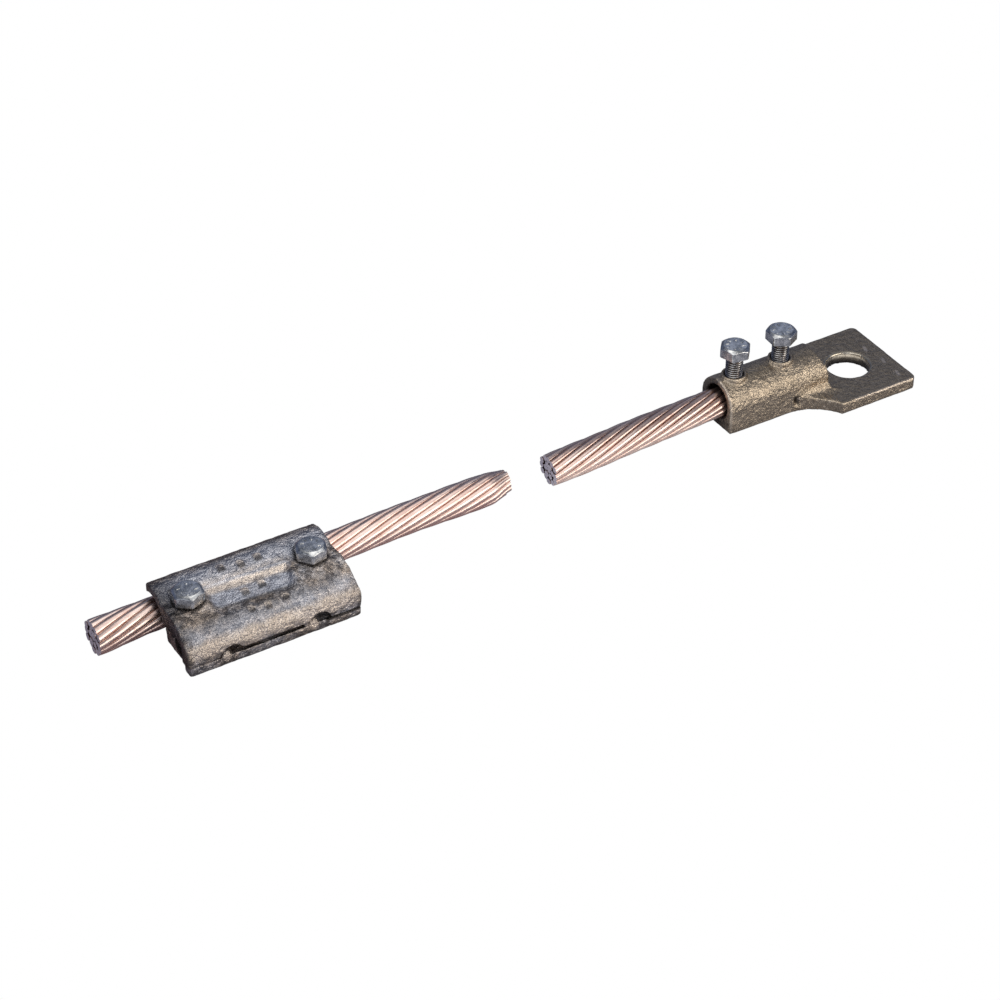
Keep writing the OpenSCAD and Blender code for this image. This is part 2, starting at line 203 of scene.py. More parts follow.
class CastGrain:
    """The node group of sand-cast skin: grain, pits and patches, shared by the castings."""

    NAME = "cast_grain"
    OUTPUTS = ("Grain", "Speckle", "Patch", "Stain", "Glint", "Height")
    # the other patterns' scales as shares of the grain's
    FINE, COARSE, PATCH, PIT = 2.7, 0.28, 0.075, 0.9
    # where each effect starts and ends on its pattern
    SPECKLE_AT, PATCH_AT, PIT_AT = (0.56, 0.72), (0.40, 0.60), (0.05, 0.30)
    STAIN_AT, GLINT_AT = (0.48, 0.60), (0.36, 0.48)
    # what the grain, the coarse and fine patterns and the pits add to the height
    RELIEF = (0.5, 1.9, 0.14, 0.12)

    @classmethod
    def group(cls) -> bpy.types.NodeTree:
        """Builds the group once.

        Returns:
            The group's node tree.
        """
        found = bpy.data.node_groups.get(cls.NAME)
        if found:
            return found
        tree = bpy.data.node_groups.new(cls.NAME, "ShaderNodeTree")
        face = tree.interface
        face.new_socket("Place", in_out="INPUT", socket_type="NodeSocketVector")
        face.new_socket("Grain Scale", in_out="INPUT", socket_type="NodeSocketFloat")
        for name in cls.OUTPUTS:
            face.new_socket(name, in_out="OUTPUT", socket_type="NodeSocketFloat")
        sheet = NodeSheet(tree)
        entry = sheet.node("NodeGroupInput")
        place, scale = entry.outputs["Place"], entry.outputs["Grain Scale"]
        grain = sheet.noise(place, scale, 3.0, 0.62)
        fine = sheet.noise(place, sheet.part(scale, cls.FINE), 2.0, 0.6)
        coarse = sheet.noise(place, sheet.part(scale, cls.COARSE), 3.0, 0.55)
        patch = sheet.noise(place, sheet.part(scale, cls.PATCH), 3.0, 0.55)
        cells = sheet.node("ShaderNodeTexVoronoi", {"Vector": place, "Scale": sheet.part(scale, cls.PIT)})
        pit = sheet.ramp(cells.outputs["Distance"], *cls.PIT_AT)
        height = sheet.part(grain, cls.RELIEF[0])
        for layer, share in zip((coarse, fine, pit), cls.RELIEF[1:]):
            height = sheet.math("ADD", height, sheet.part(layer, share))
        speckle, stains = sheet.ramp(fine, *cls.SPECKLE_AT), sheet.ramp(coarse, *cls.STAIN_AT)
        patches, glints = sheet.ramp(patch, *cls.PATCH_AT), sheet.ramp(coarse, *cls.GLINT_AT, 1.0, 0.0)
        values = (grain, speckle, patches, stains, glints, height)
        sheet.node("NodeGroupOutput", dict(zip(cls.OUTPUTS, values)))
        return tree


class EdgeWearAndCreaseShade:
    """The node group of worn edges, which also stand in for edge highlights, and of painted shade in creases,
    from how pointed the surface is.
    """

    NAME = "edge_wear_and_crease_shade"
    # where each effect starts and ends on the pointiness
    SPANS = {"Edge": (0.52, 0.60), "Hollow": (0.48, 0.41)}

    @classmethod
    def group(cls) -> bpy.types.NodeTree:
        """Builds the group once.

        Returns:
            The group's node tree.
        """
        found = bpy.data.node_groups.get(cls.NAME)
        if found:
            return found
        tree = bpy.data.node_groups.new(cls.NAME, "ShaderNodeTree")
        for name in cls.SPANS:
            tree.interface.new_socket(name, in_out="OUTPUT", socket_type="NodeSocketFloat")
        sheet = NodeSheet(tree)
        pointed = sheet.node("ShaderNodeNewGeometry").outputs["Pointiness"]
        feeds = {name: sheet.ramp(pointed, *span) for name, span in cls.SPANS.items()}
        sheet.node("NodeGroupOutput", feeds)
        return tree


# Finishes


@dataclass(frozen=True)
class Look:
    """What a finish feeds to its shader."""

    tone: Socket
    metallic: float
    rough: Socket
    height: Socket
    strength: float
    depth: float


@dataclass(frozen=True)
class Finish:
    """What the finishes share: a material whose shader takes the look that paint() gives."""

    ROUGH_AT = (0.3, 0.7)
    name: str

    def paint(self, sheet: NodeSheet, place: Socket) -> Look:
        """Wires the look, in each finish's own way."""
        raise NotImplementedError

    def material(self) -> bpy.types.Material:
        """Builds the material.

        Returns:
            The finished material.
        """
        made = bpy.data.materials.new(self.name)
        made.use_nodes = True
        sheet = NodeSheet(made.node_tree)
        look = self.paint(sheet, sheet.node("ShaderNodeTexCoord").outputs["Object"])
        relief = {"Strength": look.strength, "Distance": look.depth * MM, "Height": look.height}
        bump = sheet.node("ShaderNodeBump", relief).outputs["Normal"]
        feeds = {"Base Color": look.tone, "Metallic": look.metallic, "Roughness": look.rough, "Normal": bump}
        sheet.feed(made.node_tree.nodes["Principled BSDF"], feeds)
        return made


@dataclass(frozen=True)
class BronzeFinish(Finish):
    """Sand-cast bronze with a dull skin."""

    GRAIN_AT = (0.40, 0.60)
    base: Colour
    pale: Colour
    dark: Colour
    patch: Colour
    grain_scale: float
    rough: tuple[float, float]
    depth: float
    grain_share: float = 0.7
    patch_share: float = 0.7
    glint_share: float = 0.45
    speckle_share: float = 0.48
    edge_share: float = 0.75
    hollow_share: float = 0.6
    metallic: float = 0.9
    strength: float = 0.8
    # the colour of the painted shade
    painted_shade: Colour = (0.035, 0.028, 0.024)
    # the colour of the painted highlights, which are partly worn edges, and of the pale cast marks
    highlights_wear_and_marks: Colour = (0.92, 0.785, 0.655)
    # the colour of the painted bluish reflection of the room
    cool: Colour = (0.63, 0.66, 0.74)

    def paint(self, sheet: NodeSheet, place: Socket) -> Look:
        """Lays patches, grain, stains and glints over the base, then painted bluish reflection, painted
        highlights with wear and pale marks, pale worn edges that also stand in for edge highlights, painted
        shade in creases and painted shade along the noted lines.

        Args:
            sheet: The material's sheet.
            place: The coordinates on the piece.

        Returns:
            The look.
        """
        feeds = {"Place": place, "Grain Scale": self.grain_scale}
        skin = sheet.node("ShaderNodeGroup", feeds, node_tree=CastGrain.group())
        edge_wear_and_shade = sheet.node("ShaderNodeGroup", node_tree=EdgeWearAndCreaseShade.group())
        grain = skin.outputs["Grain"]
        tone = sheet.coats(
            self.base,
            (self.patch, sheet.part(skin.outputs["Patch"], self.patch_share)),
            (self.dark, sheet.part(sheet.ramp(grain, *self.GRAIN_AT), self.grain_share)),
            (self.dark, sheet.part(skin.outputs["Stain"], self.patch_share)),
            (self.pale, sheet.part(skin.outputs["Glint"], self.patch_share * self.glint_share)),
            (self.pale, sheet.part(skin.outputs["Speckle"], self.speckle_share)),
            # painted bluish reflection of the room
            (self.cool, sheet.noted("cool")),
            # painted highlights, partly worn edges, and pale cast marks
            (self.highlights_wear_and_marks, sheet.noted("rub")),
            # pale worn edges that also stand in for edge highlights
            (self.pale, sheet.part(edge_wear_and_shade.outputs["Edge"], self.edge_share)),
            # painted shade in creases
            (self.dark, sheet.part(edge_wear_and_shade.outputs["Hollow"], self.hollow_share)),
            # painted shade along the lines noted on the casting
            (self.painted_shade, sheet.noted("painted_shade")),
        )
        rough = sheet.ramp(grain, *self.ROUGH_AT, *self.rough)
        return Look(tone, self.metallic, rough, skin.outputs["Height"], self.strength, self.depth)


@dataclass(frozen=True)
class SteelFinish(Finish):
    """Plain steel of the screws with dull clouds and fine flecks."""

    CLOUD_AT, GROOVE_AT = (0.35, 0.65), (0.15, 0.95)
    PALE_AT, DARK_AT = (0.56, 0.70), (0.46, 0.34)
    base: Colour
    pale: Colour
    dark: Colour
    # the colour of the painted shade in the thread's hollows
    groove_shade: Colour = (0.11, 0.075, 0.055)
    rough: tuple[float, float] = (0.18, 0.34)
    cloud_scale: float = 420.0
    fleck_scale: float = 1900.0
    pale_share: float = 0.6
    dark_share: float = 0.7
    fleck_height: float = 0.4
    strength: float = 0.6
    depth: float = 0.18

    def paint(self, sheet: NodeSheet, place: Socket) -> Look:
        """Lays clouds, flecks and painted shade in the thread grooves over the base.

        Args:
            sheet: The material's sheet.
            place: The coordinates on the piece.

        Returns:
            The look.
        """
        cloud = sheet.noise(place, self.cloud_scale, 3.0, 0.55)
        fleck = sheet.noise(place, self.fleck_scale, 2.0, 0.6)
        tone = sheet.coats(
            self.base,
            (self.dark, sheet.ramp(cloud, *self.CLOUD_AT)),
            (self.pale, sheet.part(sheet.ramp(fleck, *self.PALE_AT), self.pale_share)),
            (self.dark, sheet.part(sheet.ramp(fleck, *self.DARK_AT), self.dark_share)),
            # painted shade in the thread's hollows
            (self.groove_shade, sheet.ramp(sheet.noted("thread_hollow"), *self.GROOVE_AT)),
        )
        rough = sheet.ramp(fleck, *self.ROUGH_AT, *self.rough)
        height = sheet.math("ADD", cloud, sheet.part(fleck, self.fleck_height))
        return Look(tone, 1.0, rough, height, self.strength, self.depth)


@dataclass(frozen=True)
class CopperFinish(Finish):
    """Bare drawn copper, its tone a little different from strand to strand."""

    CLOUD_AT, DRAW_AT, GROOVE_AT = (0.40, 0.68), (0.45, 0.72), (0.15, 1.0)
    # the drawing marks are long along the strands
    STRETCH = (0.12, 1.0, 1.0)
    base: Colour
    tarnish: Colour
    # the colour of the painted shade between strands
    groove_shade: Colour = (0.36, 0.22, 0.17)
    rough: tuple[float, float] = (0.24, 0.38)
    draw_scale: float = 1600.0
    cloud_scale: float = 140.0
    cloud_share: float = 0.45
    draw_share: float = 0.3
    groove_share: float = 0.92
    strength: float = 0.35
    depth: float = 0.03

    def paint(self, sheet: NodeSheet, place: Socket) -> Look:
        """Tarnishes the base in clouds and drawing marks and paints shade into the grooves between strands.

        Args:
            sheet: The material's sheet.
            place: The coordinates on the piece.

        Returns:
            The look.
        """
        stretch = sheet.node("ShaderNodeMapping", {"Scale": self.STRETCH, "Vector": place})
        draw = sheet.noise(stretch.outputs["Vector"], self.draw_scale, 3.0, 0.6)
        cloud = sheet.noise(place, self.cloud_scale, 3.0, 0.6)
        clouds = sheet.ramp(cloud, *self.CLOUD_AT, 0.0, self.cloud_share)
        shade = sheet.math("ADD", clouds, sheet.ramp(draw, *self.DRAW_AT, 0.0, self.draw_share))
        shade = sheet.math("ADD", shade, sheet.noted("strand_tone"), clamp=True)
        # painted shade down the strands' sides into the grooves
        groove_shade = sheet.ramp(sheet.noted("strand_side"), *self.GROOVE_AT, 0.0, self.groove_share)
        tone = sheet.coats(self.base, (self.tarnish, shade), (self.groove_shade, groove_shade))
        rough = sheet.ramp(draw, *self.ROUGH_AT, *self.rough)
        return Look(tone, 1.0, rough, draw, self.strength, self.depth)


@dataclass(frozen=True)
class CutFinish(Finish):
    """The sawn faces of the strands."""

    SAW_AT = (0.42, 0.66)
    base: Colour
    pale: Colour
    saw_scale: float = 1100.0
    rough: tuple[float, float] = (0.55, 0.8)
    metallic: float = 0.15
    strength: float = 0.6
    depth: float = 0.08

    def paint(self, sheet: NodeSheet, place: Socket) -> Look:
        """Mottles the base.

        Args:
            sheet: The material's sheet.
            place: The coordinates on the piece.

        Returns:
            The look.
        """
        saw = sheet.noise(place, self.saw_scale, 3.0, 0.65)
        tone = sheet.coats(self.base, (self.pale, sheet.ramp(saw, *self.SAW_AT)))
        rough = sheet.ramp(saw, *self.ROUGH_AT, *self.rough)
        return Look(tone, self.metallic, rough, saw, self.strength, self.depth)


class Finishes:
    """The connector's materials, built once."""

    def __init__(self) -> None:
        """Builds every finish."""
        self.lug = BronzeFinish(
            "lug_bronze", (0.62, 0.505, 0.375), (0.98, 0.83, 0.64), (0.16, 0.135, 0.105), (0.62, 0.525, 0.42),
            grain_scale=1700.0, rough=(0.22, 0.40), depth=0.52, grain_share=0.66, patch_share=0.22,
        ).material()
        self.bored = BronzeFinish(
            "bored_bronze", (0.74, 0.66, 0.53), (0.94, 0.86, 0.72), (0.50, 0.44, 0.35), (0.76, 0.68, 0.55),
            grain_scale=1500.0, rough=(0.20, 0.32), depth=0.10,
        ).material()
        self.clamp = BronzeFinish(
            "clamp_bronze", (0.56, 0.462, 0.382), (0.97, 0.87, 0.79), (0.13, 0.115, 0.11),
            (0.515, 0.53, 0.585),
            grain_scale=1150.0, rough=(0.20, 0.36), depth=1.4, grain_share=0.5, patch_share=0.75,
        ).material()
        self.steel = SteelFinish(
            "screw_steel", (0.87, 0.87, 0.86), (0.97, 0.96, 0.94), (0.42, 0.43, 0.44)
        ).material()
        self.copper = CopperFinish("drawn_copper", (0.85, 0.685, 0.62), (0.70, 0.475, 0.405)).material()
        self.cut = CutFinish("sawn_copper", (0.80, 0.72, 0.77), (0.94, 0.88, 0.92)).material()


# Hands


class Bench:
    """Small jobs done with Blender's own operators."""

    @staticmethod
    def clear() -> None:
        """Leaves edit mode and deselects everything."""
        if bpy.context.object and bpy.context.object.mode != "OBJECT":
            bpy.ops.object.mode_set(mode="OBJECT")
        bpy.ops.object.select_all(action="DESELECT")

    @staticmethod
    def pick(piece: Piece) -> None:
        """Selects one piece and makes it active.

        Args:
            piece: The piece.
        """
        Bench.clear()
        piece.select_set(True)
        bpy.context.view_layer.objects.active = piece

    @staticmethod
    def apply_all(piece: Piece) -> None:
        """Applies each modifier of a piece in order.

        Args:
            piece: The piece.
        """
        Bench.pick(piece)
        for modifier in list(piece.modifiers):
            bpy.ops.object.modifier_apply(modifier=modifier.name)

    @staticmethod
    def settle(piece: Piece) -> None:
        """Puts a piece's place into its mesh."""
        Bench.pick(piece)
        bpy.ops.object.transform_apply(location=True, rotation=True, scale=True)

    @staticmethod
    def join(piece: Piece, others: list[Piece]) -> None:
        """Joins other pieces into one.

        Args:
            piece: The piece that stays.
            others: The pieces that become part of it.
        """
        Bench.pick(piece)
        for other in others:
            other.select_set(True)
        bpy.ops.object.join()

    @staticmethod
    def clean(piece: Piece, turn_out: bool = True) -> None:
        """Merges doubles.

        Args:
            piece: The mesh object.
            turn_out: Whether the faces are turned outwards too.
        """
        Bench.pick(piece)
        bpy.ops.object.mode_set(mode="EDIT")
        bpy.ops.mesh.select_all(action="SELECT")
        bpy.ops.mesh.remove_doubles(threshold=MERGE * MM)
        if turn_out:
            bpy.ops.mesh.normals_make_consistent(inside=False)
        bpy.ops.object.mode_set(mode="OBJECT")

    @staticmethod
    def disc(
        sides: int, radius: float, place: Corner = (0.0, 0.0, 0.0), turn: Corner = (0.0, 0.0, 0.0)
    ) -> Piece:
        """Makes a flat disc to extrude.

        Args:
            sides: How many sides it has.
            radius: Its radius.
            place: Its middle.
            turn: How it is turned, in radians.

        Returns:
            The disc.
        """
        Bench.clear()
        middle = tuple(v * MM for v in place)
        bpy.ops.mesh.primitive_circle_add(
            vertices=sides, radius=radius * MM, fill_type="NGON", location=middle, rotation=turn
        )
        return bpy.context.object

    @staticmethod
    def extrude(rings: int, step: Corner) -> None:
        """Extrudes the active disc ring by ring.

        Args:
            rings: How many rings are added.
            step: From ring to ring, m.
        """
        bpy.ops.object.mode_set(mode="EDIT")
        bpy.ops.mesh.select_all(action="SELECT")
        for _ in range(rings):
            bpy.ops.mesh.extrude_region_move(TRANSFORM_OT_translate={"value": step})
        bpy.ops.object.mode_set(mode="OBJECT")

    @staticmethod
    def node_copy(frame: dict, node: str, name: str) -> Piece:
        """Copies a CAD node's mesh into a new piece.

        Args:
            frame: The loaded frame.
            node: The CAD node's name.
            name: The new piece's name.

        Returns:
            The new piece, with its doubles merged.
        """
        piece = bpy.data.objects.new(name, frame["nodes"][node].data.copy())
        bpy.context.scene.collection.objects.link(piece)
        piece.data.materials.clear()
        Bench.clean(piece, turn_out=False)
        return piece

    @staticmethod
    def join_body(piece: Piece, body: Body, slot: Slot, *nodes: str) -> None:
        """Ties a piece to its body, hides the nodes it stands for and logs its faces.

        Args:
            piece: The finished piece.
            body: The body it rides on.
            slot: The record's material slot; not used.
            nodes: The CAD nodes that it replaces.
        """
        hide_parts(*nodes)
        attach(piece, body.value)
        LOG.info("%s: %d faces, rides on %s", piece.name, len(piece.data.polygons), body.value)


# Castings


@dataclass
class Casting:
    """A sand-cast piece: the CAD solid with softened edges and an uneven skin."""

    SMOOTHING = 0.5
    # half the width of a ring round a screw, and how much a point of the top looks up
    COLLAR, UPWARD = 1.1, 0.5

    node: str
    name: str
    body: Body
    slot: Slot
    voxel: float = 0.45
    soften: int = 4
    waves: Course = ((6.0, 0.22), (1.7, 0.10))
    swell: float = 0.15
    worn: tuple[tuple[Corner, Corner, int], ...] = ()
    marks: tuple[tuple[Corner, float, float], ...] = ()
    # lines of painted shade
    painted_shade: tuple[Streak, ...] = ()
    # lines of painted highlight, partly worn edges, and pale cast marks
    highlights_wear_and_marks: tuple[Streak, ...] = ()
    # lines of painted bluish reflection of the room
    cool: tuple[Streak, ...] = ()
    collars: tuple[tuple[float, float, float, float], ...] = ()
    bored: float = 0.0

    def build(self, frame: dict) -> Piece:
        """Copies, remeshes, softens and roughens the solid.

        Args:
            frame: The loaded frame.

        Returns:
            The casting.
        """
        piece = Bench.node_copy(frame, self.node, self.name)
        remesh = piece.modifiers.new("skin", "REMESH")
        remesh.mode = "VOXEL"
        remesh.voxel_size = self.voxel * MM
        remesh.use_smooth_shade = True
        Bench.apply_all(piece)
        for index, (low, high, times) in enumerate(self.worn):
            self._wear(piece, f"worn_{index}", low, high, times)
        for place, reach, height in self.marks:
            self._mark(piece, place, reach, height)
        smooth = piece.modifiers.new("soften", "SMOOTH")
        smooth.factor = self.SMOOTHING
        smooth.iterations = self.soften
        for size, height in self.waves:
            cloud = bpy.data.textures.new(f"{self.name}_{size}", "CLOUDS")
            cloud.noise_scale = size * MM
            cloud.noise_depth = 1
            wave = piece.modifiers.new(f"wave_{size}", "DISPLACE")
            wave.texture = cloud
            wave.texture_coords = "LOCAL"
            wave.strength = height * MM
            wave.mid_level = 0.5
        inflate = piece.modifiers.new("swell", "DISPLACE")
        inflate.strength = self.swell * MM
        inflate.mid_level = 0.0
        Bench.apply_all(piece)
        for x, y, radius, height in self.collars:
            self._collar(piece, x, y, radius, height)
        bpy.ops.object.shade_smooth()
        return piece

    @staticmethod
    def _collar(piece: Piece, x: float, y: float, radius: float, height: float) -> None:
        """Raises a rounded ring on the top, round a screw.

        Args:
            piece: The casting.
            x: The ring's middle along X.
            y: The ring's middle along Y.
            radius: The ring's radius.
            height: How far it stands up.
        """
        for point in piece.data.vertices:
            share = (math.hypot(point.co.x / MM - x, point.co.y / MM - y) - radius) / Casting.COLLAR
            if abs(share) < 1 and point.normal.z > Casting.UPWARD:
                point.co.z += height * MM * (1 - share * share)

    @staticmethod
    def _wear(piece: Piece, name: str, low: Corner, high: Corner, times: int) -> None:
        """Rounds the edges inside a box more than the rest.

        Args:
            piece: The casting.
            name: The name of the group of points.
            low: The box's low corner.
            high: The box's high corner.
            times: How often the points are smoothed.
        """
        inside = [
            point.index
            for point in piece.data.vertices
            if all(a * MM <= v <= b * MM for a, v, b in zip(low, point.co, high))
        ]
        piece.vertex_groups.new(name=name).add(inside, 1.0, "REPLACE")
        rub = piece.modifiers.new(name, "SMOOTH")
        rub.factor = Casting.SMOOTHING
        rub.iterations = times
        rub.vertex_group = name
        Bench.apply_all(piece)

    @staticmethod
    def _mark(piece: Piece, place: Corner, reach: float, height: float) -> None:
        """Raises or sinks a small round blemish.

        Args:
            piece: The casting.
            place: The blemish's middle.
            reach: Its radius.
            height: How far it stands out, negative for a pit.
        """
        middle = Vector(place) * MM
        for point in piece.data.vertices:
            share = (point.co - middle).length / (reach * MM)
            if share < 1:
                point.co += point.normal * (height * MM * (1 - share * share) ** 2)

    @staticmethod
    def _note(piece: Piece, name: str, lines: tuple[Streak, ...]) -> None:
        """Notes on each point how near it is to the lines of an effect.

        Args:
            piece: The casting.
            name: The attribute's name.
            lines: Each line's ends, the radius where it is full, the radius where it ends and its most.
        """
        noted = piece.data.attributes.new(name, "FLOAT", "POINT")
        runs = [
            (Vector(start) * MM, Vector(end) * MM, inner * MM, outer * MM, most)
            for start, end, inner, outer, most in lines
        ]
        for point in piece.data.vertices:
            worst = 0.0
            for start, end, inner, outer, most in runs:
                run = end - start
                share = min(1.0, max(0.0, (point.co - start).dot(run) / run.length_squared))
                away = (point.co - start - run * share).length
                if away < outer:
                    worst = max(worst, most * min(1.0, (outer - away) / (outer - inner)))
            noted.data[point.index].value = worst

    def dress(self, piece: Piece, finish: bpy.types.Material, bored: bpy.types.Material) -> None:
        """Gives the casting its finishes and its body.

        Args:
            piece: The casting.
            finish: Its material.
            bored: The material of a machined hole on the Z axis.
        """
        # notes the painted shade, the painted highlights with wear and marks, and the painted bluish
        # reflection
        self._note(piece, "painted_shade", self.painted_shade)
        self._note(piece, "rub", self.highlights_wear_and_marks)
        self._note(piece, "cool", self.cool)
        piece.data.materials.append(finish)
        if self.bored:
            piece.data.materials.append(bored)
            for face in piece.data.polygons:
                if math.hypot(face.center.x, face.center.y) < self.bored * MM:
                    face.material_index = 1
        Bench.join_body(piece, self.body, self.slot, self.node)


# Screws


@dataclass
class HexScrew:
    """A hexagon screw with a chamfered head and a cut thread."""

    HEAD_SIDES, SHANK_SIDES, RINGS_PER_TURN = 96, 32, 8
    HEAD_CREASE, SHANK_CREASE = math.radians(31), math.radians(50)
    # the plain ticks' angles, place on the head's flat, lean and size
    TICKS = (8, 52, 95, 131, 178, 221, 262, 309)
    TICK_OUT, TICK_LEAN, TICK_SIZE = 0.68, 0.5, (1.6, 0.6, 0.5)
    # how far the shank reaches into the head
    OVERLAP = 0.05
    # the thread's depth as a share of its pitch, and the shares of its flat and its flank
    DEPTH, FLAT, FLANK = 0.6, 0.12, 0.76
    # how much of the painted thread shade the crests keep
    CREST_DARK = 0.4
    POINT, POINT_DEPTH = 1.0, 0.9

    node: str
    name: str
    body: Body
    x: float
    y: float
    seat_z: float
    length: float
    turn: float
    across_flats: float = 12.7
    head_height: float = HEAD_HEIGHT
    thread_d: float = 7.94
    pitch: float = 1.13
    crown: float = 0.85
    chamfer_deg: float = 36.0
    corner_r: float = 7.1
    soft: float = 0.16

    def build(self) -> Piece:
        """Models the head and the shank and joins them.

        Returns:
            The screw.
        """
        head = self._head()
        Bench.join(head, [self._shank()])
        Bench.settle(head)
        head.name = self.name
        return head

    def _profile(self, angle: float) -> list[tuple[float, float]]:
        """Gives the head's outline from its seat to its top at one angle.

        Args:
            angle: The angle from a corner of the hexagon.

        Returns:
            The radius and the height of each ring.
        """
        half, soft, top = self.across_flats / 2, self.soft, self.head_height
        flat = half * self.crown
        slope = math.tan(math.radians(self.chamfer_deg))
        side = min(self.corner_r, half / math.cos(angle % (math.pi / 3) - math.pi / 6))
        edge = top - (side - flat) * slope
        return [
            (side - soft, 0.0),
            (side, soft),
            (side, edge - soft),
            (side - 0.25 * soft, edge - 0.1 * soft),
            (side - soft, edge + soft * slope),
            (flat + soft, top - soft * slope),
            (flat, top - 0.15 * soft),
            (flat - soft, top),
        ]

    def _head(self) -> Piece:
        """Extrudes the head ring by ring, draws the rings to the hexagon and its chamfer and adds the ticks.

        Returns:
            The head.
        """
        head = Bench.disc(self.HEAD_SIDES, self.corner_r)
        Bench.extrude(len(self._profile(0.0)) - 1, (0, 0, MM))
        for point in head.data.vertices:
            angle = math.atan2(point.co.y, point.co.x)
            radius, up = self._profile(angle)[round(point.co.z / MM)]
            point.co = Vector((radius * math.cos(angle), radius * math.sin(angle), up)) * MM
        Bench.clean(head)
        bpy.ops.object.shade_smooth_by_angle(angle=self.HEAD_CREASE)
        Bench.join(head, [self._tick(math.radians(turn)) for turn in self.TICKS])
        head.rotation_euler = (0, 0, math.radians(self.turn))
        head.location = Vector((self.x, self.y, self.seat_z)) * MM
        Bench.settle(head)
        return head

    def _tick(self, angle: float) -> Piece:
        """Makes one of the plain raised ticks on the head's top.

        Args:
            angle: Its place round the axis.

        Returns:
            The tick.
        """
        Bench.clear()
        out = self.across_flats / 2 * self.crown * self.TICK_OUT
        place = (out * math.cos(angle), out * math.sin(angle), self.head_height)
        bpy.ops.mesh.primitive_cube_add(
            size=MM, location=tuple(v * MM for v in place), rotation=(0, 0, angle + self.TICK_LEAN)
        )
        tick = bpy.context.object
        tick.scale = self.TICK_SIZE
        Bench.settle(tick)
        return tick

    def _shank(self) -> Piece:
        """Extrudes a round shank ring by ring and cuts the thread into it.

        Returns:
            The shank.
        """
        rings = int(self.length / (self.pitch / self.RINGS_PER_TURN))
        foot = self.seat_z + self.OVERLAP - self.length
        shank = Bench.disc(self.SHANK_SIDES, self.thread_d / 2, (self.x, self.y, foot))
        Bench.settle(shank)
        Bench.extrude(rings, (0, 0, self.length / rings * MM))
        depth = self.pitch * self.DEPTH
        # notes the painted shade of the thread's hollows, a little on its crests too
        hollow = shank.data.attributes.new("thread_hollow", "FLOAT", "POINT")
        for point in shank.data.vertices:
            dx, dy = point.co.x / MM - self.x, point.co.y / MM - self.y
            up = point.co.z / MM - foot
            phase = (up / self.pitch - math.atan2(dy, dx) / math.tau) % 1.0
            ridge = min(1.0, max(0.0, (abs(2 * phase - 1) - self.FLAT) / self.FLANK))
            hollow.data[point.index].value = self.CREST_DARK + (1 - self.CREST_DARK) * (1 - ridge)
            end = max(0.0, 1 - up / self.POINT) * self.POINT_DEPTH
            radius = self.thread_d / 2 - depth * (1 - ridge) - end
            size = math.hypot(dx, dy)
            point.co.x = (self.x + dx / size * radius) * MM
            point.co.y = (self.y + dy / size * radius) * MM
        Bench.clean(shank)
        bpy.ops.object.shade_smooth_by_angle(angle=self.SHANK_CREASE)
        return shank

    def dress(self, piece: Piece, finish: bpy.types.Material) -> None:
        """Gives the screw its finish and its body.

        Args:
            piece: The screw.
            finish: Its material.
        """
        piece.data.materials.clear()
        piece.data.materials.append(finish)
        Bench.join_body(piece, self.body, Slot.STEEL, self.node)


# Conductors


class Layer(Enum):
    """The strand layers of a conductor."""

    CORE = "core"
    INNER = "inner"
    OUTER = "outer"


def between(points: Course, place: float) -> float:
    """Reads a smooth line through a few points.

    Args:
        points: Places and values, in order of place.
        place: Where to read.

    Returns:
        The value there, held level past the ends.
    """
    if place <= points[0][0]:
        return points[0][1]
    for (x0, v0), (x1, v1) in zip(points, points[1:]):
        if place < x1:
            share = (place - x0) / (x1 - x0)
            return v0 + (v1 - v0) * share * share * (3 - 2 * share)
    return points[-1][1]


